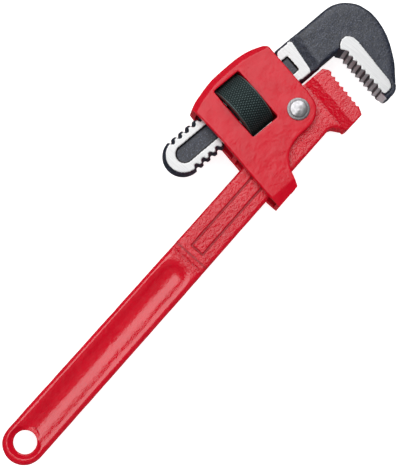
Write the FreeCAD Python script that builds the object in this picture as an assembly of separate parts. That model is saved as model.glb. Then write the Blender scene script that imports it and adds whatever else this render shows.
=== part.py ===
import FreeCAD, Part
import math
import os

from FreeCAD import Vector as V

# Stillson-pattern pipe wrench, nominal 350 mm (14 in). Millimetres.
# Origin: centre of the hanging hole at mid thickness. +X runs along the handle
# to the jaws, +Y to the back of the hook jaw's shank, +Z out of the side face.

# ---------------------------------------------------------------- dimensions
TILT_DEG = 8.0            # the stirrup and the hook jaw lean back from the handle by this
HEAD_LONG = 1.02          # the head's outlines are lengthened along the shank by this
HOLE_AT = V(2.6, 0.5, 0)  # hanging hole in the drawing's coordinates; the finished parts move it to the origin
HOLE_R = 7.0              # hanging hole
HOLE_WALL_Z = 4.6         # half thickness of the web of metal round the hole
GRIP_HALF_Z = 7.0         # half thickness of the grip's rails
GROOVE_FLOOR_Z = 3.8      # half thickness at the bottom of the spoon groove
GROOVE_X0, GROOVE_X1, GROOVE_Y = 2.6, 133.0, 0.3  # centres of its round ends
NECK_HALF_Z = 7.5         # half thickness of the neck
PANEL_X0, PANEL_X1, PANEL_Y0, PANEL_Y1 = 154.4, 214.0, -5.4, 4.2
PANEL_LINE, PANEL_DEEP = 1.0, 0.45
HEEL_HALF_Z = 11.25       # half width of the heel jaw's teeth
HEEL_PITCH, HEEL_N = 3.88, 7
HOOK_HALF_Z = 9.5         # half width of the hook's body
HOOK_TEETH_HALF_Z = 11.3  # half width of the hook jaw's teeth
PIVOT = V(259.3, 9.9, 0)  # rivet centre
RIVET_R, RIVET_RUN = 5.0, 0.05
RIVET_HEAD_R, RIVET_HEAD_H = 6.9, 2.0
PLATE_OUT_Z, PLATE_IN_Z = 12.5, 8.0   # stirrup: outside and inside half width
BACK_BEVEL = 3.8          # outside bevel along the stirrup's back wall
EDGE_ROUND = 1.1          # outside rounding round the rest of the plates
AXIS_N = 69.9             # height of the shank's axis over the tilted base line
THREAD_CREST_R, THREAD_ROOT_R = 12.5, 10.8
THREAD_PITCH = 5.5
THREAD_FIRST_TOP = 184.6  # first gap on the back edge, at mid thickness
SHANK_HALF_Z = 6.25
COLLAR_S, COLLAR_R = 270.0, 13.0  # plain collar between the thread and the arm
SHANK_END_S = 184.9       # centre of the ball-shaped end
POCKET_HALF, POCKET_DEEP = 5.25, 1.6
POCKET_S0, POCKET_S1 = 185.9, 273.2
ARM_S = 279.5             # where the arm starts to thicken
NUT_S0, NUT_S1, NUT_R = 223.9, 242.3, 18.5
NUT_BORE_R, NUT_RIDGE_R = 12.8, 11.15
WINDOW = (223.3, 242.9, 50.6, 87.0)   # s0, s1, n0, n1
SPRING_T, SPRING_HALF_Z = 1.2, 5.0

t = math.radians(TILT_DEG)
US = V(math.cos(t), -math.sin(t), 0)   # along the shank, to the jaws
UN = V(math.sin(t), math.cos(t), 0)    # across it, to the back


def sn(s, n, z=0.0):
    return US * s + UN * n + V(0, 0, z)


def to_sn(x, y):
    p = V(x, y, 0)
    return p.dot(US), p.dot(UN)


def head(x, y, z=0):
    """A point of the head's outlines, lengthened along the shank from the rivet."""
    p = V(x, y, 0)
    d = (p - V(PIVOT.x, PIVOT.y, 0)).dot(US) * (HEAD_LONG - 1)
    return p + US * d + V(0, 0, z)


def wire(start, *segs, at_head=False):
    """A closed outline: a point continues with a straight edge, a list with a smooth curve
    through its points."""
    if at_head is True:
        V = head
    elif at_head:
        def V(x, y, z):
            return head(x, y, z) if x > at_head else FreeCAD.Vector(x, y, z)
    else:
        V = FreeCAD.Vector
    edges, at = [], V(*start)
    for seg in segs:
        if isinstance(seg, list):
            pts = [at] + [V(*p) for p in seg]
            c = Part.BSplineCurve()
            c.interpolate(pts)
            edges.append(c.toShape())
            at = pts[-1]
        else:
            p = V(*seg)
            if (p - at).Length > 1e-6:
                edges.append(Part.LineSegment(at, p).toShape())
            at = p
    if (V(*start) - at).Length > 1e-6:
        edges.append(Part.LineSegment(at, V(*start)).toShape())
    return Part.Wire(edges)


def slab(w, z0, z1):
    f = Part.Face(w)
    f.translate(V(0, 0, z0))
    return f.extrude(V(0, 0, z1 - z0))


def xy(*pts):
    return [(p[0], p[1], 0) for p in pts]


def box_sn(s0, s1, n0, n1, z0, z1):
    w = Part.makePolygon([sn(s0, n0), sn(s1, n0), sn(s1, n1), sn(s0, n1), sn(s0, n0)])
    return slab(w, z0, z1)


def turned(profile, z_from=None):
    """Solid of revolution about the shank's axis from (s, r) points."""
    w = Part.makePolygon([sn(s, AXIS_N + r) for s, r in profile + profile[:1]])
    return Part.Face(w).revolve(sn(0, AXIS_N), US, 360)


def round_edges(shape, pick, sizes):
    """Rounds the edges that pick names, at the largest listed size that gives a valid solid."""
    edges = [e for e in shape.Edges if pick(e)]
    for r in sizes:
        try:
            out = shape.makeFillet(r, edges)
            if out.isValid() and out.Volume > 0.5 * shape.Volume:
                return one(out)
        except Exception:
            pass
    print("edges left sharp:", len(edges))
    return shape


def swept_bevel(pts, size, z, side):
    """The cutter of a flat bevel along a smooth planar curve at height z: size inwards and size down.
    side is +1 where the body lies to the left of the curve's direction."""
    line = Part.BSplineCurve()
    line.interpolate([FreeCAD.Vector(p.x, p.y, z) for p in pts])
    edge = line.toShape()
    p0 = edge.valueAt(edge.FirstParameter)
    t0 = edge.tangentAt(edge.FirstParameter)
    inw = FreeCAD.Vector(-t0.y, t0.x, 0) * side
    prof = [(size, 0.0), (-2.0, -size - 2.0), (-6.0, -size - 2.0), (-6.0, 3.5), (size, 3.5)]
    loop = [p0 + inw * u + V(0, 0, h) for u, h in prof]
    return upright(Part.Wire([edge]).makePipeShell([Part.makePolygon(loop + loop[:1])], True, False))


def upright(solid):
    """A swept solid with its faces outwards."""
    solid = Part.Solid(solid) if solid.ShapeType != "Solid" else solid
    if solid.Volume < 0:
        solid.reverse()
    return solid


def one(shape):
    """The largest solid of a result."""
    return max(shape.Solids, key=lambda x: x.Volume)


def at_z(z, tol=1e-4):
    def pick(e):
        b = e.BoundBox
        return abs(b.ZMin - z) < tol and abs(b.ZMax - z) < tol
    return pick


# ---------------------------------------------------------------- handle bar
def handle_bar():
    hx, hy = HOLE_AT.x, HOLE_AT.y
    grip_w = wire(
        (146.5, -12.55, 0),
        (75.0, -12.5, 0),
        (hx, -12.4, 0),
        [(hx - 3.2, -12.1, 0), (hx - 8.6, -9.9, 0), (hx - 12.6, -4.9, 0), (hx - 13.8, hy, 0),
         (hx - 12.6, 5.8, 0), (hx - 8.7, 10.8, 0), (hx - 3.2, 13.0, 0), (hx, 13.25, 0)],
        (75.0, 12.75, 0),
        (146.5, 12.3, 0),
    )
    grip = slab(grip_w, -GRIP_HALF_Z, GRIP_HALF_Z)
    grip = round_edges(
        grip,
        lambda e: (at_z(GRIP_HALF_Z)(e) or at_z(-GRIP_HALF_Z)(e)) and e.BoundBox.XMin < 146.4,
        [3.4, 3.0, 2.4],
    )
    neck_w = wire(
        (146.0, -12.5, 0),
        (205.0, -12.4, 0),
        (232.0, -12.1, 0),
        (262.0, -12.1, 0),
        [(264.8, -12.5, 0), (266.6, -14.2, 0), (268.4, -17.4, 0), (270.8, -20.2, 0)],
        (272.8, -20.7, 0),
        (277.0, -20.7, 0),
        (277.0, 17.2, 0),
        (268.0, 18.45, 0),
        (263.0, 19.1, 0),
        [(259.5, 19.0, 0), (256.0, 17.2, 0), (252.6, 14.2, 0), (247.5, 12.3, 0)],
        (205.0, 12.05, 0),
        (146.0, 12.25, 0),
        at_head=240,
    )
    neck = slab(neck_w, -NECK_HALF_Z, NECK_HALF_Z)
    neck = round_edges(
        neck,
        lambda e: (at_z(NECK_HALF_Z)(e) or at_z(-NECK_HALF_Z)(e)) and e.BoundBox.XMin < 276.9,
        [2.0, 1.6, 1.2, 0.8],
    )
    # heel jaw: wider than the neck, with the same toothed outline through its width
    tip0, step = V(289.9, 9.86, 0), V(-0.667, -3.82, 0)
    pts = [(269.5, -20.0), (271.5, -20.7), (282.6, -21.0), (285.3, -16.3)]
    teeth = []
    for i in range(HEEL_N):
        tip = tip0 + step * i
        teeth.append((tip.x, tip.y))
        teeth.append((tip.x - 1.80, tip.y - 1.35))
    pts += teeth[::-1]
    pts += [(289.9, 11.9), (287.9, 15.4), (268.0, 18.45)]
    heel = slab(Part.makePolygon([head(x, y) for x, y in pts + pts[:1]]), -HEEL_HALF_Z, HEEL_HALF_Z)
    for sign in (1, -1):
        z7, z11 = sign * (NECK_HALF_Z - 0.02), sign * (HEEL_HALF_Z + 1)
        s_a, s_b = 269.4, 269.4 + (HEEL_HALF_Z + 1 - NECK_HALF_Z) * 1.75
        ramp = Part.makePolygon([
            sn(255, -60, z7), sn(s_a, -60, z7), sn(s_b, -60, z11), sn(255, -60, z11), sn(255, -60, z7)])
        heel = heel.cut(Part.Face(ramp).extrude(UN * 140))
    heel = round_edges(
        heel,
        lambda e: (at_z(HEEL_HALF_Z)(e) or at_z(-HEEL_HALF_Z)(e)) and e.BoundBox.XMax < 288.9
        and (e.BoundBox.YMax < -16.0 or e.BoundBox.YMin > 11.9),
        [1.0, 0.6],
    )
    bar = grip.fuse(neck).fuse(heel).removeSplitter()
    # spoon groove on both sides: hollow in the middle, rolling over into the rails
    curve = [(0.0, 0.0), (2.0, 0.16), (4.0, 0.64), (5.6, 1.32), (6.8, 2.0), (8.0, 2.55), (9.2, 2.93), (10.7, 3.25)]
    for sign in (1, -1):
        def half(side, x):
            return [V(x, GROOVE_Y + side * t, GROOVE_FLOOR_Z + h) for t, h in curve]
        low, high = half(-1, 0), half(1, 0)
        line = Part.BSplineCurve()
        line.interpolate(low[::-1] + high[1:])
        lid = Part.makePolygon([high[-1], V(0, GROOVE_Y + 10.7, 12), V(0, GROOVE_Y - 10.7, 12), low[-1]])
        prof = Part.Face(Part.Wire([line.toShape()] + lid.Edges))
        prof.translate(V(GROOVE_X0, 0, 0))
        cut = prof.extrude(V(GROOVE_X1 - GROOVE_X0, 0, 0))
        side = Part.BSplineCurve()
        side.interpolate(high)
        rest = Part.makePolygon([high[-1], V(0, GROOVE_Y + 10.7, 12), V(0, GROOVE_Y, 12), high[0]])
        sector = Part.Face(Part.Wire([side.toShape()] + rest.Edges))
        bowl = sector.revolve(V(0, GROOVE_Y, 0), V(0, 0, 1), 360)
        for x, k in ((GROOVE_X0, -1), (GROOVE_X1, 1)):
            b = bowl.copy()
            b.translate(V(x, 0, 0))
            b = b.common(Part.makeBox(30, 40, 30, V(x - (30 if k < 0 else 0), -20, 0)))
            cut = cut.fuse(b)
        if sign < 0:
            cut = cut.mirror(V(0, 0, 0), V(0, 0, 1))
        bar = bar.cut(cut)
    # name panel: only its frame line is kept, the field is plain
    outer = Part.makeBox(PANEL_X1 - PANEL_X0, PANEL_Y1 - PANEL_Y0, 2, V(PANEL_X0, PANEL_Y0, 0))
    inner = Part.makeBox(PANEL_X1 - PANEL_X0 - 2 * PANEL_LINE, PANEL_Y1 - PANEL_Y0 - 2 * PANEL_LINE, 4,
                         V(PANEL_X0 + PANEL_LINE, PANEL_Y0 + PANEL_LINE, -1))
    line = outer.cut(inner)
    for z in (NECK_HALF_Z - PANEL_DEEP, -NECK_HALF_Z + PANEL_DEEP - 2):
        c = line.copy()
        c.translate(V(0, 0, z))
        bar = bar.cut(c)
    # even wall round the hanging hole
    bar = bar.fuse(Part.makeCylinder(HOLE_R + 2.4, 2 * HOLE_WALL_Z, HOLE_AT - V(0, 0, HOLE_WALL_Z)))
    for sign in (1, -1):
        bar = bar.cut(Part.makeCone(HOLE_R + 0.5, HOLE_R + 3.2, 2.4, HOLE_AT + V(0, 0, sign * HOLE_WALL_Z), V(0, 0, sign)))
    hole = Part.makeCylinder(HOLE_R, 30, HOLE_AT - V(0, 0, 15))
    bar = bar.cut(hole)
    bore = Part.makeCylinder(RIVET_R + RIVET_RUN, 40, PIVOT - V(0, 0, 20))
    bar = bar.cut(bore)
    # shallow seat for the back leaf spring's rivet
    seat = Part.makeCylinder(1.6, 4.0, V(240.0, 9.2, 0), V(0, 1, 0))
    bar = bar.cut(seat)
    return one(bar)


# ---------------------------------------------------------------- stirrup
def housing_outline():
    return wire(
        (207.9, -20.8, 0),
        (224.8, -20.7, 0),
        (228.4, -12.6, 0),
        [(230.9, -8.6, 0), (234.3, -5.0, 0), (239.3, -2.2, 0), (244.2, -1.2, 0), (249.1, -1.2, 0),
         (254.1, -1.8, 0), (257.5, -2.0, 0), (261.0, -1.5, 0), (265.4, 0.7, 0), (268.4, 3.7, 0),
         (270.4, 8.6, 0), (271.7, 14.6, 0), (272.7, 21.5, 0)],
        (276.4, 47.6, 0),
        [(276.2, 49.6, 0), (275.1, 51.4, 0), (272.9, 53.1, 0), (268.0, 55.6, 0), (263.1, 57.4, 0), (253.2, 59.4, 0),
         (243.2, 60.6, 0), (238.3, 60.9, 0), (228.3, 60.2, 0), (220.4, 58.9, 0), (217.3, 57.7, 0)],
        (216.2, 44.2, 0),
        (214.6, 29.4, 0),
        (211.6, 9.65, 0),
        (208.6, -10.1, 0),
        at_head=True,
    )


def housing():
    w = housing_outline()
    body = slab(w, -PLATE_OUT_Z, PLATE_OUT_Z)

    flat = lambda e: at_z(PLATE_OUT_Z)(e) or at_z(-PLATE_OUT_Z)(e)
    back = [head(x, y) for x, y in (
        (285.0, 48.6), (278.0, 51.6), (272.9, 53.7), (268.0, 55.6), (263.1, 57.4), (253.2, 59.4), (243.2, 60.6),
        (238.3, 60.9), (228.3, 60.2), (220.4, 58.9), (214.0, 56.6), (207.0, 53.2))]
    top = swept_bevel(back, BACK_BEVEL, PLATE_OUT_Z, 1)
    body = body.cut(top).cut(top.mirror(V(0, 0, 0), V(0, 0, 1)))
    body = round_edges(
        body,
        lambda e: flat(e) and e.BoundBox.YMax < 24 and not (e.BoundBox.XMin < 207 and e.BoundBox.XMax < 212),
        [EDGE_ROUND, 0.9],
    )
    # broad bevel along the foot of each side plate
    ends = []
    for x in (196.0, 234.0):
        y = -13.5 - (x - 207.0) * 0.127
        ends.append(Part.makePolygon([V(x, y, 12.52), V(x, -21.4, 8.7), V(x, -26, 8.7), V(x, -26, 16), V(x, y, 16),
                                      V(x, y, 12.52)]))
    foot = upright(Part.makeLoft(ends, True, True))
    body = one(body.cut(foot).cut(foot.mirror(V(0, 0, 0), V(0, 0, 1))))
    # the two passages meet under the nut and are parted by a web at the mouth
    inner_back = [(212.0, 53.2, 0), (216.4, 53.3, 0), (222.0, 54.6, 0), (229.0, 55.9, 0), (238.0, 56.5, 0),
                  (246.0, 56.0, 0), (254.0, 54.8, 0), (262.0, 52.7, 0), (270.0, 49.2, 0), (279.0, 44.6, 0)]
    cavity_w = wire(
        (200.0, -17.8, 0),
        (240.0, -17.8, 0),
        (290.0, -17.8, 0),
        (290.0, 42.0, 0),
        (279.0, 44.6, 0),
        inner_back[::-1][1:],
        (200.0, 53.2, 0),
        at_head=True,
    )
    cavity = slab(cavity_w, -PLATE_IN_Z, PLATE_IN_Z)
    m = head(211.4, 19.0)
    s_m, n_m = to_sn(m.x, m.y)
    web = box_sn(s_m - 20, s_m + 11.5, 46.6, 50.4, -PLATE_IN_Z - 1, PLATE_IN_Z + 1)
    body = body.cut(cavity.cut(web))
    # windows for the nut
    s0, s1, n0, n1 = WINDOW
    win = box_sn(s0, s1, n0, n1, -20, 20)
    win = round_edges(win, lambda e: abs(e.BoundBox.ZMax - e.BoundBox.ZMin) > 30, [1.0])
    body = body.cut(win)
    body = body.cut(Part.makeCylinder(RIVET_R, 40, PIVOT - V(0, 0, 20)))
    # rivet hole of the front leaf spring, through the front wall
    body = body.cut(Part.makeCylinder(1.8, 8, V(221.5, -22.5, 0), V(0, 1, 0)))
    body = one(body)
    body = round_edges(
        body,
        lambda e: flat(e) and 223 < to_sn(e.CenterOfMass.x, e.CenterOfMass.y)[0] < 244
        and e.BoundBox.YMin > 15 and e.BoundBox.YMax < 56 and e.Length > 12,
        [0.6, 0.4],
    )
    return body


# ---------------------------------------------------------------- hook jaw
def thread_gap(s_at, top):
    """One cutter of the shank's thread: a ring segment leaning by the lead angle."""
    r_mid = (THREAD_CREST_R + THREAD_ROOT_R) / 2
    lean = math.degrees(math.atan(THREAD_PITCH / (2 * math.pi * r_mid)))
    prof = [(-2.15, THREAD_CREST_R + 1.0), (-1.75, THREAD_CREST_R), (-0.75, THREAD_ROOT_R),
            (0.75, THREAD_ROOT_R), (1.75, THREAD_CREST_R), (2.15, THREAD_CREST_R + 1.0)]
    sign = 1 if top else -1
    pts = [sn(s_at + a, AXIS_N + sign * r) for a, r in prof]
    f = Part.Face(Part.makePolygon(pts + pts[:1]))
    a = f.revolve(sn(0, AXIS_N), US, 44)
    b = f.revolve(sn(0, AXIS_N), US, -44)
    ring = a.fuse(b)
    # at the back the gap runs forward with +Z, at the front edge it runs back
    ring.rotate(sn(s_at, AXIS_N), UN, lean if top else -lean)
    return ring


def hook_jaw():
    # threaded shank: a turned bar with flats
    bar = turned([(SHANK_END_S, 0.0), (285.0, 0.0), (285.0, COLLAR_R), (COLLAR_S + 0.5, COLLAR_R),
                  (COLLAR_S, COLLAR_R - 0.5), (COLLAR_S, THREAD_CREST_R), (SHANK_END_S, THREAD_CREST_R)])
    ball = Part.makeSphere(THREAD_CREST_R, sn(SHANK_END_S, AXIS_N))
    shank = bar.fuse(ball).removeSplitter()
    shank = shank.common(box_sn(150, 285.5, AXIS_N - 20, AXIS_N + 20, -SHANK_HALF_Z, SHANK_HALF_Z))
    cuts = []
    k = 0
    while THREAD_FIRST_TOP + THREAD_PITCH * k < 267.5:
        cuts.append(thread_gap(THREAD_FIRST_TOP + THREAD_PITCH * k, True))
        if THREAD_FIRST_TOP + THREAD_PITCH * (k + 0.5) < 267.5:
            cuts.append(thread_gap(THREAD_FIRST_TOP + THREAD_PITCH * (k + 0.5), False))
        k += 1
    shank = shank.cut(Part.makeCompound(cuts))
    # forged hook: arm, bend and nose
    arm_w = wire(
        (285.2, 18.1, 0),
        (303.4, 15.7, 0),
        (306.5, 10.0, 0),
        (305.3, 6.2, 0),
        (301.8, -17.5, 0),
        (300.5, -20.7, 0),
        (300.2, -24.7, 0),
        [(301.2, -26.4, 0), (303.2, -27.0, 0), (305.6, -27.2, 0), (308.3, -26.6, 0)],
        [(311.4, -24.2, 0), (316.3, -19.8, 0), (320.7, -15.4, 0), (325.6, -9.0, 0), (329.8, -2.4, 0),
         (333.0, 5.6, 0), (334.8, 14.2, 0), (334.4, 22.0, 0), (332.4, 27.8, 0), (329.1, 32.3, 0),
         (324.7, 36.0, 0), (319.2, 38.3, 0)],
        (310.9, 39.5, 0),
        (289.6, 42.4, 0),
        [(286.6, 42.3, 0), (285.4, 40.6, 0), (284.3, 34.0, 0), (283.0, 25.0, 0), (283.0, 20.4, 0),
         (285.2, 18.1, 0)],
        at_head=True,
    )
    arm = slab(arm_w, -HOOK_HALF_Z, HOOK_HALF_Z)
    arm = round_edges(arm, lambda e: at_z(HOOK_HALF_Z)(e) or at_z(-HOOK_HALF_Z)(e), [3.6, 3.0, 2.4, 1.8, 1.2])
    # the arm grows out of the shank's flats over a ramp, so that it runs in between the plates
    for sign in (1, -1):
        z_a, z_b = sign * SHANK_HALF_Z, sign * (HOOK_HALF_Z + 1)
        lean = 0.13                    # the ramp's foot runs on towards the back
        s_0 = ARM_S - lean * (AXIS_N - 20)
        run = Part.makePolygon([sn(250, 20, z_a), sn(s_0, 20, z_a),
                                sn(s_0 + (HOOK_HALF_Z + 1 - SHANK_HALF_Z) * 2.1, 20, z_b),
                                sn(250, 20, z_b), sn(250, 20, z_a)])
        arm = arm.cut(Part.Face(run).extrude(UN * 100 + US * (100 * lean)))
    # toothed pad, wider than the body
    tip0, tip1 = V(304.0, 8.9, 0), V(300.9, -17.3, 0)
    n_t = 8
    pts = [(303.6, 15.2), (306.4, 10.2)]
    for i in range(n_t):
        tip = tip0 + (tip1 - tip0) * (i / (n_t - 1))
        pts.append((tip.x, tip.y))
        pts.append((tip.x + 1.55, tip.y - 2.65))
    pts[-1] = (301.65, -19.8)
    pts += [(300.7, -20.7), (301.0, -23.2), (302.6, -23.6), (304.6, -23.8), (307.0, -23.4), (308.3, -21.8),
            (309.4, -19.8), (310.3, -15.6), (311.2, -10.0), (312.6, -3.0), (313.8, 3.4), (315.0, 11.0),
            (314.8, 14.2), (313.6, 16.8), (311.7, 18.5), (309.0, 18.7), (306.4, 17.7)]
    pad = slab(Part.makePolygon([head(x, y) for x, y in pts + pts[:1]]), -HOOK_TEETH_HALF_Z, HOOK_TEETH_HALF_Z)
    jaw = shank.fuse(arm).fuse(pad).removeSplitter()
    # teeth go on through the body's full width
    mouth = [(296.0, 14.0), (303.0, 14.0), (306.4, 10.2)] + pts[2:2 + 2 * n_t] + [(300.7, -20.7), (296.0, -20.7)]
    jaw = jaw.cut(slab(Part.makePolygon([head(x, y) for x, y in mouth + mouth[:1]]), -15, 15))
    # rough pocket along both flats of the shank
    for sign in (1, -1):
        s0, s1 = POCKET_S0, POCKET_S1
        pocket = box_sn(s0, s1, AXIS_N - POCKET_HALF, AXIS_N + POCKET_HALF, 0, 6)
        end = Part.makeCylinder(POCKET_HALF, 6, sn(s0, AXIS_N, 0))
        pocket = pocket.fuse(end)
        pocket.translate(V(0, 0, SHANK_HALF_Z - POCKET_DEEP if sign > 0 else -SHANK_HALF_Z + POCKET_DEEP - 6))
        jaw = jaw.cut(pocket)
    return one(jaw)


# ---------------------------------------------------------------- nut
def adjusting_nut():
    c = 0.8
    nut = turned([(NUT_S0, NUT_BORE_R), (NUT_S0, NUT_R - c), (NUT_S0 + c, NUT_R), (NUT_S1 - c, NUT_R),
                  (NUT_S1, NUT_R - c), (NUT_S1, NUT_BORE_R)])
    # right-hand ridge; its local frame has X across the shank to the back and Z along it
    turns_h = 5 * THREAD_PITCH
    helix = Part.makeHelix(THREAD_PITCH, turns_h, NUT_BORE_R)
    prof = [(NUT_BORE_R + 0.6, -1.60), (NUT_BORE_R, -1.35), (NUT_RIDGE_R, -0.42),
            (NUT_RIDGE_R, 0.42), (NUT_BORE_R, 1.35), (NUT_BORE_R + 0.6, 1.60)]
    pw = Part.makePolygon([V(r, 0, a) for r, a in prof + prof[:1]])
    ridge = Part.Wire(helix).makePipeShell([pw], True, True)
    ridge = Part.Solid(ridge) if ridge.ShapeType != "Solid" else ridge
    # start a whole number of pitches before the nut, in step with the shank's gaps at the back edge
    k = math.floor((NUT_S0 - 1.2 * THREAD_PITCH - THREAD_FIRST_TOP) / THREAD_PITCH)
    s_start = THREAD_FIRST_TOP + k * THREAD_PITCH
    m = FreeCAD.Matrix(
        UN.x, 0, US.x, 0,
        UN.y, 0, US.y, 0,
        0, 1, 0, 0,
        0, 0, 0, 1)
    place = FreeCAD.Placement(m)
    place.Base = sn(s_start, AXIS_N)
    ridge.Placement = place
    band = turned([(NUT_S0 + 0.35, NUT_RIDGE_R - 2), (NUT_S0 + 0.35, NUT_BORE_R + 1.2),
                   (NUT_S1 - 0.35, NUT_BORE_R + 1.2), (NUT_S1 - 0.35, NUT_RIDGE_R - 2)])
    ridge = ridge.common(band)
    return one(nut.fuse(ridge))


# ---------------------------------------------------------------- rivets and springs
def dome(r, h, base):
    big = (r * r + h * h) / (2 * h)
    ball = Part.makeSphere(big, V(0, 0, h - big))
    cap = ball.common(Part.makeCylinder(r, h + 1, V(0, 0, 0)))
    cap.translate(base)
    return cap


def pivot_rivet():
    pin = Part.makeCylinder(RIVET_R, 2 * PLATE_OUT_Z, PIVOT - V(0, 0, PLATE_OUT_Z))
    rim = 0.7
    cap = Part.makeCylinder(RIVET_HEAD_R, rim, PIVOT + V(0, 0, PLATE_OUT_Z))
    cap = cap.fuse(dome(RIVET_HEAD_R - 0.5, RIVET_HEAD_H - rim, PIVOT + V(0, 0, PLATE_OUT_Z + rim)))
    other = cap.mirror(V(0, 0, 0), V(0, 0, 1))
    return one(pin.fuse(cap).fuse(other).removeSplitter())


def strip(pts, half_z, thick):
    """A leaf: a smooth line thickened upwards by thick."""
    lo = [V(x, y, 0) for x, y in pts]
    hi = [V(x, y + thick, 0) for x, y in pts]
    c0, c1 = Part.BSplineCurve(), Part.BSplineCurve()
    c0.interpolate(lo)
    c1.interpolate(hi)
    w = Part.Wire([c0.toShape(), Part.LineSegment(lo[-1], hi[-1]).toShape(), c1.toShape(),
                   Part.LineSegment(hi[0], lo[0]).toShape()])
    return slab(w, -half_z, half_z)


def back_leaf_spring():
    # bolted down on the bar's back edge, its free end bears on the stirrup's web
    s = strip([(246.0, 12.38), (240.0, 12.33), (235.5, 12.35), (230.0, 12.9), (224.0, 13.9),
               (218.5, 14.55), (214.5, 14.7)], SPRING_HALF_Z, SPRING_T)
    return one(s.cut(Part.makeCylinder(1.65, 8, V(240.0, 9.5, 0), V(0, 1, 0))))


def back_spring_rivet():
    pin = Part.makeCylinder(1.6, 3.97 + SPRING_T, V(240.0, 9.5, 0), V(0, 1, 0))
    cap = dome(2.9, 1.3, V(0, 0, 0))
    cap.rotate(V(0, 0, 0), V(1, 0, 0), -90)
    cap.translate(V(240.0, 13.66, 0))
    return one(pin.fuse(cap))


def front_leaf_spring():
    # held on the inside of the front wall, its free end bears on the bar's front edge
    s = strip([(225.0, -17.64), (221.5, -17.64), (218.2, -17.5), (215.2, -16.4), (212.6, -15.0),
               (210.4, -14.2)], SPRING_HALF_Z, SPRING_T)
    return one(s.cut(Part.makeCylinder(1.85, 8, V(221.5, -22.5, 0), V(0, 1, 0))))


def front_spring_rivet():
    # flush on the outside of the wall
    pin = Part.makeCylinder(1.78, 3.2 + SPRING_T, V(221.5, -20.7, 0), V(0, 1, 0))
    cap = dome(2.8, 0.9, V(0, 0, 0))
    cap.rotate(V(0, 0, 0), V(1, 0, 0), -90)
    cap.translate(V(221.5, -16.33, 0))
    return one(pin.fuse(cap))


NODES = {
    "handle_bar": handle_bar,
    "housing": housing,
    "hook_jaw": hook_jaw,
    "adjusting_nut": adjusting_nut,
    "pivot_rivet": pivot_rivet,
    "back_leaf_spring": back_leaf_spring,
    "back_spring_rivet": back_spring_rivet,
    "front_leaf_spring": front_leaf_spring,
    "front_spring_rivet": front_spring_rivet,
}

os.makedirs("parts", exist_ok=True)
for name, make in NODES.items():
    shape = make()
    shape.translate(HOLE_AT * -1)
    b = shape.BoundBox
    print(f"{name}: valid {shape.isValid()} solids {len(shape.Solids)} volume {shape.Volume:.0f} "
          f"x {b.XMin:.1f}..{b.XMax:.1f} y {b.YMin:.1f}..{b.YMax:.1f} z {b.ZMin:.1f}..{b.ZMax:.1f}")
    shape.exportStep(f"parts/{name}.step")
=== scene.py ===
import bpy, math
import numpy as np
from mathutils import Vector, Matrix


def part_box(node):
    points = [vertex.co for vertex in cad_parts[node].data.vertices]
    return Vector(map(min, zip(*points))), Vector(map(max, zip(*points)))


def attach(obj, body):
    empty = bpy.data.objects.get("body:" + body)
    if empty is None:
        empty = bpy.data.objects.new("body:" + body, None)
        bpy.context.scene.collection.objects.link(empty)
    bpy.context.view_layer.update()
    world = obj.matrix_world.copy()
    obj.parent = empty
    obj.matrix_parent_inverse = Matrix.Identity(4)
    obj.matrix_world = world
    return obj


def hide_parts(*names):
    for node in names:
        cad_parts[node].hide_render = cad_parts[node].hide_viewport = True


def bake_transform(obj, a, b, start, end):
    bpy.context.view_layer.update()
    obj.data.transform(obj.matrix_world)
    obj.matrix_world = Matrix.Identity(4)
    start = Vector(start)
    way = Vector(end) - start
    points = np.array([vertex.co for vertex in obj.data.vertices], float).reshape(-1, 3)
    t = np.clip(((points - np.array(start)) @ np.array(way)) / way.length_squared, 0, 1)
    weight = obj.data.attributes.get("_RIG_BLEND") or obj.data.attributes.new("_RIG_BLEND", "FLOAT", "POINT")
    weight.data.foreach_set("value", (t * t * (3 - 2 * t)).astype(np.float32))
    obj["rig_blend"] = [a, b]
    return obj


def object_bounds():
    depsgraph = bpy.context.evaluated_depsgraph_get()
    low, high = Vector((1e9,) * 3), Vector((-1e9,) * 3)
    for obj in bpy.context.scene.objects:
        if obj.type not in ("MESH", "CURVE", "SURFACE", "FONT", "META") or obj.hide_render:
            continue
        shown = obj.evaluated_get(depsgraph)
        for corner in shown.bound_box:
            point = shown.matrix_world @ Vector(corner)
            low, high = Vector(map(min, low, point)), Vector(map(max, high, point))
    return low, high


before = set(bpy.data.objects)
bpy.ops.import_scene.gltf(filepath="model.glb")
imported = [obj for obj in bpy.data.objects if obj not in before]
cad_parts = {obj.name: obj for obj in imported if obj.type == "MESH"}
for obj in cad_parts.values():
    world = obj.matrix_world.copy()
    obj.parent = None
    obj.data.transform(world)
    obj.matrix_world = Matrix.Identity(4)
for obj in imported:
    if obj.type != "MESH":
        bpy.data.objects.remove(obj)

CAD_BOX = [list(c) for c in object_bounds()]
MM = 0.001

# ------------------------------------------------------------------ the frame's own directions
TILT = math.radians(8.0)
US = np.array([math.cos(TILT), -math.sin(TILT), 0.0])      # along the hook jaw's shank
UN = np.array([math.sin(TILT), math.cos(TILT), 0.0])       # across it, to the back
HOLE = np.array([2.6, 0.5, 0.0])                           # the CAD outlines' offset from the hole
AXIS_N = 69.9
PITCH = 5.5
NUT_S0, NUT_S1, NUT_R = 223.9, 242.3, 18.5


def sn(p_mm):
    """Distances along and across the shank, for points in millimetres."""
    q = p_mm + HOLE
    return q @ US, q @ UN


# ------------------------------------------------------------------ numpy noise
def _hash(ix, iy, iz, seed):
    h = (ix * 374761393 + iy * 668265263 + iz * 2147483647 + seed * 1274126177) & 0xFFFFFFFF
    h = ((h ^ (h >> 13)) * 1274126177) & 0xFFFFFFFF
    h = ((h ^ (h >> 15)) * 2246822519) & 0xFFFFFFFF
    return ((h ^ (h >> 16)) & 0xFFFFFF) / float(0xFFFFFF)


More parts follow.
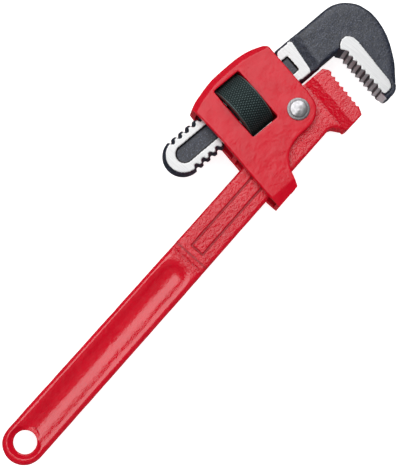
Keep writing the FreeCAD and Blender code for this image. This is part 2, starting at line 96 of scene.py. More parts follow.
def vnoise(p, seed=0):
    """Smooth value noise in -1..1 at points p, one cell per unit."""
    i = np.floor(p).astype(np.int64)
    f = p - i
    w = f * f * f * (f * (f * 6 - 15) + 10)
    out = 0
    for dx in (0, 1):
        for dy in (0, 1):
            for dz in (0, 1):
                k = (w[:, 0] if dx else 1 - w[:, 0]) * (w[:, 1] if dy else 1 - w[:, 1]) * (w[:, 2] if dz else 1 - w[:, 2])
                out = out + k * _hash(i[:, 0] + dx, i[:, 1] + dy, i[:, 2] + dz, seed)
    return out * 2 - 1


def fbm(p, octaves=3, seed=0):
    out, a, t = 0, 1.0, 0.0
    for o in range(octaves):
        out = out + a * vnoise(p * 2.03 ** o + 17.3 * o, seed + o)
        t += a
        a *= 0.5
    return out / t


def step(x, lo, hi):
    t = np.clip((x - lo) / (hi - lo), 0, 1)
    return t * t * (3 - 2 * t)


# ------------------------------------------------------------------ meshes
class Skin:
    """Points (mm), quads and edges of a dense skin."""

    def __init__(self, mesh):
        n = len(mesh.vertices)
        co = np.empty(n * 3)
        mesh.vertices.foreach_get("co", co)
        self.co = co.reshape(-1, 3) / MM
        e = np.empty(len(mesh.edges) * 2, dtype=np.int64)
        mesh.edges.foreach_get("vertices", e)
        self.e = e.reshape(-1, 2)
        self.deg = np.maximum(np.bincount(self.e.ravel(), minlength=n), 1)
        self.mesh = mesh

    def mean(self, a):
        """Mean of each point's neighbours."""
        n = len(self.deg)
        i, j = self.e[:, 0], self.e[:, 1]
        if a.ndim == 1:
            return (np.bincount(i, a[j], n) + np.bincount(j, a[i], n)) / self.deg
        return np.stack([self.mean(a[:, k]) for k in range(a.shape[1])], 1)

    def smooth(self, times, keep=True, mask=None):
        w = 1.0 if mask is None else mask[:, None]
        for _ in range(times):
            self.co = self.co + 0.5 * w * (self.mean(self.co) - self.co)
            if keep:
                self.co = self.co - 0.52 * w * (self.mean(self.co) - self.co)

    def normals(self):
        self.mesh.vertices.foreach_set("co", (self.co * MM).ravel())
        self.mesh.update()
        n = np.empty(len(self.deg) * 3)
        self.mesh.vertex_normals.foreach_get("vector", n)
        return n.reshape(-1, 3)

    def bend(self, times, nor):
        """How far each point stands out of its surroundings, mm: edges above 0, corners below."""
        a = self.co
        for _ in range(times):
            a = a + 0.6 * (self.mean(a) - a)
        return ((self.co - a) * nor).sum(1)

    def attr(self, name, values):
        a = self.mesh.attributes.new(name, "FLOAT", "POINT")
        a.data.foreach_set("value", np.asarray(values, dtype=np.float32))

    def done(self, name):
        self.mesh.vertices.foreach_set("co", (self.co * MM).ravel())
        self.mesh.update()
        self.mesh.shade_smooth()
        ob = bpy.data.objects.new(name, self.mesh)
        bpy.context.scene.collection.objects.link(ob)
        return ob


def skin_of(node, voxel):
    """A dense even skin over a copy of a CAD node's shape."""
    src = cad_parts[node]
    tmp = bpy.data.objects.new("tmp", src.data.copy())
    bpy.context.scene.collection.objects.link(tmp)
    m = tmp.modifiers.new("r", "REMESH")
    m.mode = "VOXEL"
    m.voxel_size = voxel * MM
    m.use_smooth_shade = True
    dg = bpy.context.evaluated_depsgraph_get()
    mesh = bpy.data.meshes.new_from_object(tmp.evaluated_get(dg))
    old = tmp.data
    bpy.data.objects.remove(tmp)
    bpy.data.meshes.remove(old)
    for a in list(mesh.attributes):
        if not a.is_internal and not a.is_required and a.name not in ("position",):
            try:
                mesh.attributes.remove(a)
            except RuntimeError:
                pass
    mesh.materials.clear()
    return Skin(mesh)


def keep_in(skin, node):
    lo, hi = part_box(node)
    lo, hi = np.array(lo) / MM, np.array(hi) / MM
    skin.co = np.clip(skin.co, lo, hi)


# ------------------------------------------------------------------ node helpers
class Mat:
    def __init__(self, name):
        self.m = bpy.data.materials.new(name)
        self.m.use_nodes = True
        self.t = self.m.node_tree
        self.bsdf = self.t.nodes["Principled BSDF"]
        self.obj = self.node("ShaderNodeTexCoord").outputs["Object"]

    def node(self, kind, **kw):
        n = self.t.nodes.new(kind)
        for k, v in kw.items():
            setattr(n, k, v)
        return n

    def put(self, sock, v):
        if isinstance(v, bpy.types.NodeSocket):
            self.t.links.new(v, sock)
        elif isinstance(v, (tuple, list)) and len(v) == 3 and sock.type == "RGBA":
            sock.default_value = (*v, 1)
        else:
            sock.default_value = v

    def set(self, **kw):
        for k, v in kw.items():
            self.put(self.bsdf.inputs[k.replace("_", " ")], v)

    def scale(self, sx, sy, sz, rot=(0, 0, 0)):
        n = self.node("ShaderNodeMapping")
        n.inputs["Scale"].default_value = (sx, sy, sz)
        n.inputs["Rotation"].default_value = rot
        self.t.links.new(self.obj, n.inputs["Vector"])
        return n.outputs[0]

    def noise(self, size_mm, detail=3, rough=0.55, vec=None, dist=0.0, what=0):
        n = self.node("ShaderNodeTexNoise")
        n.inputs["Scale"].default_value = 1000.0 / size_mm if vec is None else size_mm
        n.inputs["Detail"].default_value = detail
        n.inputs["Roughness"].default_value = rough
        n.inputs["Distortion"].default_value = dist
        self.t.links.new(vec if vec is not None else self.obj, n.inputs["Vector"])
        return n.outputs[what]

    def voronoi(self, size_mm, feature="F1", what=0, rand=1.0):
        n = self.node("ShaderNodeTexVoronoi", feature=feature)
        n.inputs["Scale"].default_value = 1000.0 / size_mm
        n.inputs["Randomness"].default_value = rand
        self.t.links.new(self.obj, n.inputs["Vector"])
        return n.outputs[what]

    def attr(self, name):
        n = self.node("ShaderNodeAttribute", attribute_name=name)
        return n.outputs["Fac"]

    def ramp(self, v, lo, hi, a=0.0, b=1.0, smooth=True):
        n = self.node("ShaderNodeMapRange")
        n.interpolation_type = "SMOOTHSTEP" if smooth else "LINEAR"
        self.put(n.inputs[0], v)
        for i, x in ((1, lo), (2, hi), (3, a), (4, b)):
            n.inputs[i].default_value = x
        return n.outputs[0]

    def math(self, op, a, b=0.0):
        n = self.node("ShaderNodeMath", operation=op)
        self.put(n.inputs[0], a)
        self.put(n.inputs[1], b)
        return n.outputs[0]

    def mul(self, a, b):
        return self.math("MULTIPLY", a, b)

    def add(self, a, b):
        return self.math("ADD", a, b)

    def mix(self, f, a, b):
        n = self.node("ShaderNodeMix", data_type="RGBA")
        self.put(n.inputs[0], f)
        self.put(n.inputs[6], a)
        self.put(n.inputs[7], b)
        return n.outputs[2]

    def mixf(self, f, a, b):
        n = self.node("ShaderNodeMix", data_type="FLOAT")
        self.put(n.inputs[0], f)
        self.put(n.inputs[2], a)
        self.put(n.inputs[3], b)
        return n.outputs[0]

    def bump(self, h, dist_mm, strength=1.0, normal=None):
        n = self.node("ShaderNodeBump")
        n.inputs["Strength"].default_value = strength
        n.inputs["Distance"].default_value = dist_mm * MM
        self.t.links.new(h, n.inputs["Height"])
        if normal is not None:
            self.t.links.new(normal, n.inputs["Normal"])
        return n.outputs[0]


# ------------------------------------------------------------------ materials
def red_enamel(name, base, deep, gloss, level):
    """Stoved red enamel over a casting: soft waves, orange peel, with painted shade darkening the corners and a painted
    highlight lightening the edges.
    """
    k = Mat(name)
    big = k.noise(14.0, 3, 0.6)
    mid = k.noise(2.6, 3, 0.55)
    fine = k.noise(0.55, 2, 0.5)
    bend = k.attr("bend")
    cast = k.attr("cast")
    col = k.mix(k.ramp(big, 0.35, 0.68), base, deep)
    # painted highlight lightens the edges and painted shade darkens the corners
    col = k.mix(k.mul(k.ramp(bend, 0.05, 0.25), 0.25), col, (min(1, base[0] * 1.10), base[1] + 0.012, base[2] + 0.012))
    col = k.mix(k.mul(k.ramp(bend, -0.03, -0.16), 0.75), col, (deep[0] * 0.55, deep[1] * 0.5, deep[2] * 0.6))
    # sandy grain of the casting shows through as darker hollows
    grain = k.noise(1.25, 3, 0.62)
    col = k.mix(k.mul(k.mul(k.ramp(grain, 0.50, 0.30), cast), 0.40), col, (deep[0] * 0.70, deep[1] * 0.6, deep[2] * 0.7))
    # a few dust specks in the paint
    speck = k.ramp(k.voronoi(5.0), 0.07, 0.035)
    pick = k.ramp(k.noise(4.0, 0), 0.64, 0.68)
    col = k.mix(k.mul(k.mul(speck, pick), 0.5), col, (deep[0] * 0.25, 0.004, 0.006))
    # painted shade darkens the name panel's frame line and the crease at the neck's start
    line = k.attr("line")
    col = k.mix(k.mul(line, 0.85), col, (deep[0] * 0.55, deep[1] * 0.5, deep[2] * 0.6))
    k.set(Base_Color=col, Specular_IOR_Level=level)
    rough = k.add(k.ramp(mid, 0.3, 0.7, gloss - 0.04, gloss + 0.06), k.mul(cast, -0.03))
    k.set(Roughness=k.add(rough, k.mul(line, 0.35)))
    n1 = k.bump(mid, 0.095)
    n2 = k.bump(k.noise(1.5, 3, 0.65), 0.085, normal=n1)
    n3 = k.bump(k.mul(grain, cast), 0.75, normal=n2)
    n4 = k.bump(fine, 0.010, normal=n3)
    k.set(Normal=n4)
    return k.m


def hook_metal():
    """Black phosphated forging; the shank's flats, the side pads and the teeth are ground bright."""
    k = Mat("black forging with ground faces")
    ground = k.attr("ground")
    teeth = k.attr("teeth")
    pit = k.attr("pit")
    bend = k.attr("bend")
    big = k.noise(9.0, 4, 0.6)
    mid = k.noise(1.6, 4, 0.65)
    fine = k.noise(0.5, 3, 0.6)
    pepper = k.noise(0.95, 2, 0.75)
    black = k.mix(k.ramp(big, 0.3, 0.72), (0.010, 0.015, 0.031), (0.018, 0.025, 0.047))
    black = k.mix(k.mul(k.ramp(pepper, 0.57, 0.65), 0.75), black, (0.100, 0.108, 0.145))
    black = k.mix(k.mul(k.ramp(pepper, 0.48, 0.40), 0.88), black, (0.004, 0.004, 0.007))
    black = k.mix(k.mul(k.ramp(mid, 0.46, 0.30), 0.5), black, (0.010, 0.010, 0.014))
    # painted highlight lightens the forging's edges and painted shade darkens its corners
    black = k.mix(k.mul(k.ramp(bend, 0.08, 0.32), 0.35), black, (0.10, 0.10, 0.115))
    black = k.mix(k.mul(k.ramp(bend, -0.04, -0.22), 0.85), black, (0.003, 0.003, 0.004))
    # painted shade inside the rough pocket's walls
    black = k.mix(k.mul(pit, 0.92), black, (0.002, 0.002, 0.003))
    # grinding marks run across the shank and the pads
    lines = k.noise(1.0, 3, 0.6, vec=k.scale(2600, 130, 400, (0, 0, TILT)))
    lines2 = k.noise(1.0, 2, 0.5, vec=k.scale(900, 60, 200, (0, 0, TILT + 0.07)))
    steel = k.mix(k.ramp(lines, 0.3, 0.7), (0.74, 0.745, 0.75), (0.86, 0.865, 0.865))
    steel = k.mix(k.mul(k.ramp(lines2, 0.45, 0.75), 0.30), steel, (0.64, 0.64, 0.65))
    steel = k.mix(k.mul(k.ramp(k.noise(3.2, 4, 0.7), 0.62, 0.76), 0.30), steel, (0.42, 0.37, 0.33))
    tsteel = k.mix(k.ramp(k.noise(1.2, 4, 0.7), 0.32, 0.7), (0.60, 0.63, 0.66), (0.47, 0.49, 0.52))
    tsteel = k.mix(k.mul(k.ramp(k.noise(0.9, 3, 0.7), 0.54, 0.7), 0.5), tsteel, (0.10, 0.088, 0.092))
    # painted highlight lightens the teeth's edges and painted shade darkens their corners
    tsteel = k.mix(k.mul(k.ramp(bend, 0.04, 0.22), 0.6), tsteel, (0.52, 0.50, 0.52))
    tsteel = k.mix(k.mul(k.ramp(bend, -0.03, -0.18), 0.9), tsteel, (0.010, 0.008, 0.008))
    # painted shade: the tooth flanks that face +Y are darkened
    tsteel = k.mix(k.mul(k.attr("flank_shade"), 0.94), tsteel, (0.008, 0.010, 0.010))
    tip = k.attr("tip")
    tsteel = k.mix(tip, tsteel, (0.66, 0.66, 0.69))
    edge = k.add(ground, k.mul(k.add(fine, -0.5), 0.4))
    g = k.ramp(edge, 0.42, 0.58)
    tedge = k.add(k.math("MAXIMUM", teeth, tip), k.mul(k.add(fine, -0.5), 0.6))
    tt = k.ramp(tedge, 0.40, 0.62)
    col = k.mix(tt, black, tsteel)
    col = k.mix(g, col, steel)
    k.set(Base_Color=col, Specular_IOR_Level=0.85)
    k.set(Metallic=k.math("MAXIMUM", k.mul(g, 0.80), k.mul(tt, 0.30)))
    r = k.mixf(tt, k.ramp(mid, 0.3, 0.7, 0.36, 0.48), k.ramp(mid, 0.3, 0.7, 0.40, 0.52))
    r = k.mixf(g, r, k.ramp(lines, 0.3, 0.7, 0.42, 0.52))
    k.set(Roughness=r)
    inv = k.math("SUBTRACT", 1.0, g)
    n1 = k.bump(k.mul(k.noise(2.2, 4, 0.6), inv), 0.16)
    n2 = k.bump(k.mul(pepper, inv), 0.17, normal=n1)
    n3 = k.bump(k.mul(fine, inv), 0.03, normal=n2)
    n4 = k.bump(k.mul(lines, g), 0.012, normal=n3)
    k.set(Normal=n4)
    return k.m


def nut_metal():
    k = Mat("black oxide knurl")
    bend = k.attr("bend")
    mid = k.noise(2.2, 4, 0.6)
    fine = k.noise(0.45, 3, 0.6)
    col = k.mix(k.ramp(mid, 0.3, 0.7), (0.008, 0.019, 0.019), (0.016, 0.032, 0.032))
    # painted highlight lightens the knurl's crests and painted shade darkens its grooves
    col = k.mix(k.mul(k.ramp(bend, 0.03, 0.15), k.ramp(fine, 0.35, 0.6, 0.45, 1.0)), col, (0.135, 0.185, 0.185))
    col = k.mix(k.mul(k.ramp(bend, -0.03, -0.16), 0.8), col, (0.003, 0.004, 0.005))
    rust = k.mul(k.attr("rim"), k.ramp(k.noise(3.0, 4, 0.7), 0.42, 0.6))
    col = k.mix(k.mul(rust, 0.75), col, (0.16, 0.055, 0.035))
    k.set(Base_Color=col, Metallic=0.6, Specular_IOR_Level=0.4)
    k.set(Roughness=k.ramp(fine, 0.3, 0.7, 0.34, 0.50))
    k.set(Normal=k.bump(fine, 0.02, normal=k.bump(mid, 0.04)))
    return k.m


def bright_metal():
    k = Mat("bright riveted steel")
    bend = k.attr("bend")
    mid = k.noise(1.6, 4, 0.6)
    fine = k.noise(0.5, 3, 0.6)
    col = k.mix(k.ramp(mid, 0.3, 0.7), (0.64, 0.63, 0.65), (0.46, 0.45, 0.47))
    # painted shade darkens the corners
    col = k.mix(k.mul(k.ramp(bend, -0.02, -0.15), 0.8), col, (0.10, 0.095, 0.10))
    # painted shade darkens the ring round the rivet head's turned-down edge
    col = k.mix(k.mul(k.attr("rim"), k.ramp(fine, 0.3, 0.6, 0.35, 0.75)), col, (0.13, 0.125, 0.135))
    k.set(Base_Color=col, Metallic=0.9)
    k.set(Roughness=k.ramp(fine, 0.3, 0.7, 0.30, 0.44))
    k.set(Normal=k.bump(fine, 0.012, normal=k.bump(mid, 0.05)))
    return k.m


def spring_metal():
    k = Mat("blued spring steel")
    mid = k.noise(3.0, 4, 0.6)
    fine = k.noise(0.5, 3, 0.6)
    bend = k.attr("bend")
    lines = k.noise(1.0, 2, 0.5, vec=k.scale(150, 900, 2600))
    col = k.mix(k.ramp(mid, 0.3, 0.7), (0.10, 0.105, 0.13), (0.17, 0.165, 0.18))
    col = k.mix(k.mul(k.ramp(lines, 0.5, 0.75), 0.4), col, (0.30, 0.29, 0.29))
    # painted highlight lightens the spring's edges
    col = k.mix(k.mul(k.ramp(bend, 0.03, 0.15), 0.6), col, (0.42, 0.42, 0.43))
    k.set(Base_Color=col, Metallic=1.0)
    k.set(Roughness=k.ramp(fine, 0.3, 0.7, 0.28, 0.42))
    k.set(Normal=k.bump(lines, 0.01, normal=k.bump(mid, 0.03)))
    return k.m


# ------------------------------------------------------------------ pieces
def place(ob, node, body, mat):
    ob.data.materials.append(mat)
    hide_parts(node)
    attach(ob, body)
    return ob


def build_handle():
    k = skin_of("handle_bar", 0.46)
    k.smooth(2)
    # the neck's long edges are rounder than the outline: find them by their distance from the sides
    p = k.co
    bins = np.clip((p[:, 0] + 20).astype(int), 0, 319)
    top, low = np.full(320, -99.0), np.full(320, 99.0)
    np.maximum.at(top, bins, p[:, 1])
    np.minimum.at(low, bins, p[:, 1])
    rim = np.minimum(top[bins] - p[:, 1], p[:, 1] - low[bins])
    k.smooth(34, keep=False, mask=(1 - step(rim, 1.3, 2.6)) * step(p[:, 0], 140, 146) * (1 - step(p[:, 0], 226, 240)))
    nor = k.normals()
    p = k.co
    wave = fbm(p / 9.0, 2, 3) * 0.10 + fbm(p / 3.2, 2, 5) * 0.045
    x = p[:, 0]
    band = step(x, 138, 142) * (1 - step(x, 146.0, 148.5))
    neck = step(x, 139, 144) * (1 - 0.35 * step(x, 262, 270))
    rough = fbm(p / 1.5, 2, 11)
    k.co = p + nor * (wave - 0.10 + (0.75 * neck + 0.25 * band) * (np.abs(p[:, 2]) > 5) * rough * 0.24)[:, None]
    q = p + HOLE
    # how far a point lies from the middle of the panel's frame line, and the step across the neck's start
    dx = np.maximum(154.9 - q[:, 0], q[:, 0] - 213.5)
    dy = np.maximum(-4.9 - q[:, 1], q[:, 1] - 3.7)
    frame_line = 1 - step(np.abs(np.maximum(dx, dy)), 0.30, 0.85)
    crease = (1 - step(np.abs(q[:, 0] - 150.2), 0.3, 1.0)) * 0.8
    line = np.maximum(frame_line, crease) * (np.abs(p[:, 2]) > 4.5) * (np.abs(nor[:, 2]) > 0.5)
    k.co = k.co - nor * (0.35 * line)[:, None]
    nor = k.normals()
    k.attr("bend", k.bend(8, nor))
    k.attr("cast", np.clip(0.16 + 0.55 * neck + 0.35 * band, 0, 1))
    k.attr("line", line)
    keep_in(k, "handle_bar")
    return place(k.done("handle_cast_skin"), "handle_bar", "handle",
                 red_enamel("red enamel handle", (0.670, 0.0006, 0.0165), (0.615, 0.0004, 0.0145), 0.17, 0.92))


def build_housing():
    k = skin_of("housing", 0.44)
    k.smooth(2)
    nor = k.normals()
    p = k.co
    wave = fbm(p / 8.0, 2, 23) * 0.12 + fbm(p / 2.8, 2, 25) * 0.035
    k.co = p + nor * (wave - 0.13)[:, None]
    nor = k.normals()
    k.attr("bend", k.bend(8, nor))
    k.attr("cast", 0.15 * step(np.abs(p[:, 2]), 8.6, 7.6))
    k.attr("line", np.zeros(len(p)))
    keep_in(k, "housing")
    return place(k.done("stirrup_cast_skin"), "housing", "stirrup",
                 red_enamel("red enamel stirrup", (0.650, 0.0008, 0.0165), (0.600, 0.0006, 0.0145), 0.21, 0.52))


def build_hook():
    k = skin_of("hook_jaw", 0.40)
    k.smooth(1)
    nor = k.normals()
    p = k.co
    s, n = sn(p)
    az = np.abs(p[:, 2])
    flat = np.abs(nor[:, 2]) > 0.86
    # the ground flat ends in a rounded corner before the arm
    e = 278.5 + (n - 60.5) * 0.13 - s
    b, t, r = n - 58.3, 81.6 - n, 2.4
    corner = ((e < r) & (b < r) & (np.hypot(r - e, r - b) > r)) | ((e < r) & (t < r) & (np.hypot(r - e, r - t) > r))
    on_shank = (e > 0) & (b > 0) & (t > 0) & ~corner & (az > 5.9) & (az < 6.6) & flat
    pads = (az > 10.9) & flat
    ground = (on_shank | pads).astype(float)
    # painted shade: near-black darkening along the inside of the rough pocket's walls in the shank
    inside = np.minimum(5.4 - np.abs(n - AXIS_N), 273.2 - s)
    round_end = 5.4 - np.hypot(np.minimum(s - 185.9, 0), n - AXIS_N)
    inside = np.minimum(inside, round_end)
    pit = (1 - step(inside, 0.5, 1.15)) * (inside > -0.3) * (az < 6.2) * (az > 4.0)
    # the teeth and their land, ground along the mouth's upper side
    facing = step(-nor[:, 0], 0.25, 0.6)
    teeth = ((p[:, 0] > 288) & (p[:, 0] < 307.5) & (p[:, 1] < 12.0) & (p[:, 1] > -21.5) & (az <= 11.4)).astype(float)
    teeth = teeth * np.clip(facing + step(nor[:, 1], 0.3, 0.7) * 0.6 + step(-nor[:, 1], 0.6, 0.9) * 0.3, 0, 1) * (1 - ground)
    # forged arm, rounder than its outline's edges
    in_mouth = (p[:, 0] < 309) & (p[:, 1] < 18.5)
    arm = step(s, 283, 288) * (az < 9.7) * (~in_mouth)
    arm = np.maximum(arm, step(p[:, 0], 311, 314) * (az < 9.7))
    k.smooth(130, keep=False, mask=arm)
    nor = k.normals()
    p = k.co
    rough = fbm(p / 2.6, 3, 41) * 0.11 + fbm(p / 7.0, 2, 43) * 0.12
    keep = 1 - np.clip(ground + teeth, 0, 1)
    threads = ((s < 279) & (az < 5.9)).astype(float)
    k.co = p + nor * ((rough - 0.12) * keep * (1 - 0.75 * threads) - 0.01)[:, None]
    nor = k.normals()
    k.attr("bend", k.bend(7, nor))
    k.attr("ground", ground)
    k.attr("teeth", teeth)
    k.attr("pit", pit)
    # painted shade: tooth flanks facing +Y, picked by their normal
    k.attr("flank_shade", step(nor[:, 1], 0.05, 0.35) * teeth * (p[:, 1] > -21.6))
    k.attr("tip", step(-nor[:, 0] - 0.4 * nor[:, 1], 0.10, 0.40) * (p[:, 1] < -21.4) * (az < 11.6) * (1 - ground)
           * (1 - step(p[:, 0], 298.4, 299.4)))
    keep_in(k, "hook_jaw")
    return place(k.done("hook_jaw_forged_skin"), "hook_jaw", "jaw", hook_metal())


def build_nut():
    """A knurled drum: two height fields over angle and length, the diamond knurl outside and the thread inside."""
    grooves = 66                                       # each way round
    per = 7
    nt = grooves * per
    rows_out = 62
    rows_in = 56
    c = 0.8
    th = np.arange(nt) * 2 * math.pi / nt
    width = NUT_S1 - NUT_S0
    circ = 2 * math.pi * NUT_R / grooves               # pitch round the drum, mm
    lean = math.tan(math.radians(32))
    rings = []                                         # (s, r array, rim flag)
    rb = NUT_S0 + c
    for i in range(rows_out + 1):
        s = rb + (width - 2 * c) * i / rows_out
        d = s - NUT_S0 - width / 2
        u = (th * NUT_R + d * lean) / circ
        v = (th * NUT_R - d * lean) / circ
        gu = 1 - np.abs((u % 1) - 0.5) * 2
        gv = 1 - np.abs((v % 1) - 0.5) * 2
        g = np.maximum(gu, gv)
        fade = min(1.0, (s - rb + 0.10) / 0.5, (NUT_S1 - c - s + 0.10) / 0.5)
        cut = np.clip((g - 0.30) / 0.70, 0, 1) * 0.46 * fade
        rings.append((np.full(nt, s), NUT_R - 0.02 - cut, 0.0))
    outer = rings
    r_in = []
    s_start = 184.6 + PITCH * math.floor((NUT_S0 - 1.2 * PITCH - 184.6) / PITCH)
    for i in range(rows_in + 1):
        s = NUT_S0 + 0.35 + (width - 0.7) * i / rows_in
        ph = (s - s_start - PITCH * th / (2 * math.pi)) % PITCH
        ph = np.minimum(ph, PITCH - ph)
        h = np.clip((1.35 - ph) / (1.35 - 0.42), 0, 1)
        end = min(1.0, (s - NUT_S0 - 0.35) / 0.3 + 0.02, (NUT_S1 - 0.35 - s) / 0.3 + 0.02)
        r_in.append((np.full(nt, s), 12.8 - (12.8 - 11.2) * h * end, 0.0))
    def plain(s, r, rim):
        return (np.full(nt, s), np.full(nt, r), rim)
    loop = [plain(NUT_S0, 13.1, 0.0)]
    loop += [plain(NUT_S0, 13.1 + (NUT_R - c - 13.1) * t, 0.15) for t in (0.25, 0.5, 0.75, 0.95)]
    loop += [plain(NUT_S0 + 0.06, NUT_R - c, 1.0), plain(NUT_S0 + 0.4, NUT_R - 0.42, 1.0)]
    loop += outer
    loop += [plain(NUT_S1 - 0.4, NUT_R - 0.42, 1.0), plain(NUT_S1 - 0.06, NUT_R - c, 1.0)]
    loop += [plain(NUT_S1, 13.1 + (NUT_R - c - 13.1) * t, 0.15) for t in (0.95, 0.75, 0.5, 0.25)]
    loop += [plain(NUT_S1, 13.1, 0.0)]
    loop += r_in[::-1]
    nr = len(loop)
    S = np.concatenate([a for a, _, _ in loop])
    R = np.concatenate([b for _, b, _ in loop])
    T = np.tile(th, nr)
    rim = np.repeat([f for _, _, f in loop], nt)
    # theta runs from the shank's back towards +Z
    P = S[:, None] * US + (AXIS_N + R * np.cos(T))[:, None] * UN
    P[:, 2] += R * np.sin(T)
    P = P - HOLE
    i, j = np.meshgrid(np.arange(nr), np.arange(nt), indexing="ij")
    i, j = i.ravel(), j.ravel()
    i2, j2 = (i + 1) % nr, (j + 1) % nt
    quads = np.stack([i * nt + j, i * nt + j2, i2 * nt + j2, i2 * nt + j], 1)
    me = bpy.data.meshes.new("nut")
    me.from_pydata((P * MM).tolist(), [], quads.tolist())
    me.update()
    if me.polygons[nt * 10].normal.dot(Vector(P[quads[nt * 10]].mean(0) - (S[nt * 10] * US + AXIS_N * UN - HOLE))) < 0:
        me.flip_normals()
    k = Skin(me)
    nor = k.normals()
    k.attr("bend", k.bend(5, nor))
    k.attr("rim", rim)
    keep_in(k, "adjusting_nut")
    return place(k.done("nut_knurled_drum"), "adjusting_nut", "nut", nut_metal())


def build_rivet():
    k = skin_of("pivot_rivet", 0.19)
    k.smooth(2)
    nor = k.normals()
    p = k.co
    c = np.array([256.7, 9.4])
    r = np.hypot(p[:, 0] - c[0], p[:, 1] - c[1])
    top = step(np.abs(p[:, 2]), 12.9, 13.3)
    # hammered dome: shallow set marks and a turned-down ring round the edge
    rs = np.random.RandomState(7)
    dent = np.zeros(len(p))
    for side in (1, -1):
        for _ in range(15):
            a, rr, w, d = rs.uniform(0, 6.283), rs.uniform(0.4, 5.0), rs.uniform(0.8, 1.8), rs.uniform(0.04, 0.14)
            q = np.hypot(p[:, 0] - c[0] - rr * math.cos(a), p[:, 1] - c[1] - rr * math.sin(a))
            dent += d * np.exp(-(q / w) ** 2) * (p[:, 2] * side > 0)
    ring = np.exp(-((r - 5.55) / 0.35) ** 2) * 0.22
    k.co = p - nor * ((dent + ring) * top)[:, None]
    nor = k.normals()
    k.attr("bend", k.bend(8, nor))
    # the ring round the head's edge, darkened as painted shade in the material
    k.attr("rim", step(r, 5.3, 5.8) * top)
    keep_in(k, "pivot_rivet")
    return place(k.done("rivet_hammered_heads"), "pivot_rivet", "stirrup", bright_metal())


def build_small(node, body, mat, voxel, name, flex=None):
    k = skin_of(node, voxel)
    k.smooth(2)
    nor = k.normals()
    k.attr("bend", k.bend(5, nor))
    k.attr("rim", np.zeros(len(k.co)))
    keep_in(k, node)
    ob = k.done(name)
    if flex is None:
        return place(ob, node, body, mat)
    # a leaf spring is fast at its rivet and its free end follows what it bears on
    ob.data.materials.append(mat)
    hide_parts(node)
    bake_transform(ob, *flex)
    return ob


build_handle()
build_housing()
build_hook()
build_nut()
build_rivet()
SPRING = spring_metal()
SMALL = bright_metal()
build_small("back_leaf_spring", "handle", SPRING, 0.24, "back_leaf_spring_rolled",
            ("handle", "stirrup", (0.2340, 0.013, 0), (0.2150, 0.013, 0)))
build_small("front_leaf_spring", "stirrup", SPRING, 0.24, "front_leaf_spring_rolled",
            ("stirrup", "handle", (0.2158, -0.016, 0), (0.2100, -0.016, 0)))
build_small("back_spring_rivet", "handle", SMALL, 0.16, "back_spring_rivet_head")
build_small("front_spring_rivet", "stirrup", SMALL, 0.16, "front_spring_rivet_head")

# every CAD node keeps a finish of its own too
MATS = {o.name: o.data.materials[0] for o in bpy.data.objects if o.type == "MESH" and o.data.materials}
for node, piece in (("handle_bar", "handle_cast_skin"), ("housing", "stirrup_cast_skin"), ("hook_jaw", "hook_jaw_forged_skin"),
                    ("adjusting_nut", "nut_knurled_drum"), ("pivot_rivet", "rivet_hammered_heads"),
                    ("back_leaf_spring", "back_leaf_spring_rolled"), ("front_leaf_spring", "front_leaf_spring_rolled"),
                    ("back_spring_rivet", "back_spring_rivet_head"), ("front_spring_rivet", "front_spring_rivet_head")):
    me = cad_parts[node].data
    me.materials.clear()
    me.materials.append(bpy.data.objects[piece].data.materials[0])

# ------------------------------------------------------------------ camera
scene = bpy.context.scene
POS = Vector((0.0074, -0.0205, 1.060))
AIM = Vector((0.16085, 0.0034, 0.0))
ROLL = math.radians(48.48)
cam = bpy.data.cameras.new("camera")
co = bpy.data.objects.new("camera", cam)
scene.collection.objects.link(co)
fwd = (AIM - POS).normalized()
X = Vector((1, 0, 0))
x_in = (X - fwd * X.dot(fwd)).normalized()
y_in = (-fwd).cross(x_in)
right = x_in * math.cos(ROLL) - y_in * math.sin(ROLL)
up = x_in * math.sin(ROLL) + y_in * math.cos(ROLL)
m = Matrix((right, up, -fwd)).transposed().to_4x4()
m.translation = POS
co.matrix_world = m
cam.sensor_width = 36
cam.lens = 1779.74 * 36 / 472.0
cam.clip_start = 0.01
scene.camera = co

# ------------------------------------------------------------------ floor and light
R2 = Vector((right.x, right.y, 0)).normalized()      # the picture's right and up, on the floor
U2 = Vector((up.x, up.y, 0)).normalized()
FLOOR_Z = CAD_BOX[0][2] - 0.0002
me = bpy.data.meshes.new("floor")
F = 6.0
me.from_pydata([(-F, -F, FLOOR_Z), (F, -F, FLOOR_Z), (F, F, FLOOR_Z), (-F, F, FLOOR_Z)], [], [(0, 1, 2, 3)])
floor = bpy.data.objects.new("floor", me)
scene.collection.objects.link(floor)
fm = Mat("pale floor")
fm.set(Base_Color=(0.78, 0.78, 0.78), Roughness=0.85, Specular_IOR_Level=0.1, Emission_Color=(1.0, 1.0, 1.0), Emission_Strength=0.76)
me.materials.append(fm.m)
floor.visible_glossy = False      # walls and bevels mirror the dark room, as on a table in a studio

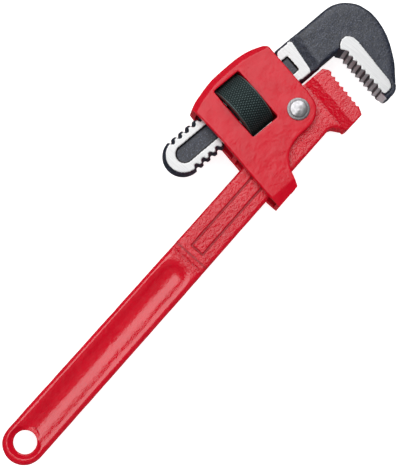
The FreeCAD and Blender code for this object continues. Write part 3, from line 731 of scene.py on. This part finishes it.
# pale wall all round, so that low views don't look out into the dark; it lights and mirrors nothing
me = bpy.data.meshes.new("backdrop")
N, RAD = 64, 5.6
ring = [(RAD * math.cos(i * 2 * math.pi / N), RAD * math.sin(i * 2 * math.pi / N)) for i in range(N)]
me.from_pydata([(x, y, FLOOR_Z) for x, y in ring] + [(x, y, 4.2) for x, y in ring] + [(0, 0, 5.2)], [],
               [(i, i + N, (i + 1) % N + N, (i + 1) % N) for i in range(N)] + [(i + N, 2 * N, (i + 1) % N + N) for i in range(N)])
backdrop = bpy.data.objects.new("backdrop", me)
scene.collection.objects.link(backdrop)
bm_ = Mat("pale wall")
bm_.set(Base_Color=(0.0, 0.0, 0.0), Roughness=1.0, Specular_IOR_Level=0.0, Emission_Color=(1.0, 1.0, 1.0), Emission_Strength=0.93)
me.materials.append(bm_.m)
backdrop.visible_diffuse = False
backdrop.visible_glossy = False
backdrop.visible_shadow = False

w = bpy.data.worlds.new("studio")
scene.world = w
w.use_nodes = True
w.node_tree.nodes["Background"].inputs[0].default_value = (1.0, 1.0, 1.0, 1)
w.node_tree.nodes["Background"].inputs[1].default_value = 0.05


def softbox(name, at, to, size_x, size_y, radiance, color=(1, 1, 1)):
    d = bpy.data.lights.new(name, "AREA")
    d.shape = "RECTANGLE"
    d.size, d.size_y = size_x, size_y
    d.energy = radiance * math.pi * size_x * size_y
    d.color = color
    o = bpy.data.objects.new(name, d)
    scene.collection.objects.link(o)
    o.location = at
    o.rotation_euler = (Vector(to) - Vector(at)).to_track_quat("-Z", "Y").to_euler()
    o.visible_camera = False
    return o


C = Vector((0.17, 0.005, 0.0))
# one wide flat softbox on the shank's side: its near edge runs along the handle, straight above it
def flat_box(name, x0, x1, y0, y1, z, radiance):
    mid = Vector(((x0 + x1) / 2, (y0 + y1) / 2, z))
    return softbox(name, mid, mid - Vector((0, 0, 1)), x1 - x0, y1 - y0, radiance)


flat_box("softbox", -0.35, 2.60, 0.030, 1.90, 1.5, 2.15)
# fill from the other side, off the gloss
fill = flat_box("fill", -1.2, 1.4, -2.1, -0.02, 1.6, 1.25)
fill.visible_glossy = False
fill2 = flat_box("fill2", -1.9, -0.37, 0.0, 1.9, 1.6, 1.25)
fill2.visible_glossy = False

scene.view_settings.view_transform = "Standard"
scene.view_settings.look = "None"
scene.view_settings.exposure = 0.0
scene.view_settings.gamma = 1.0
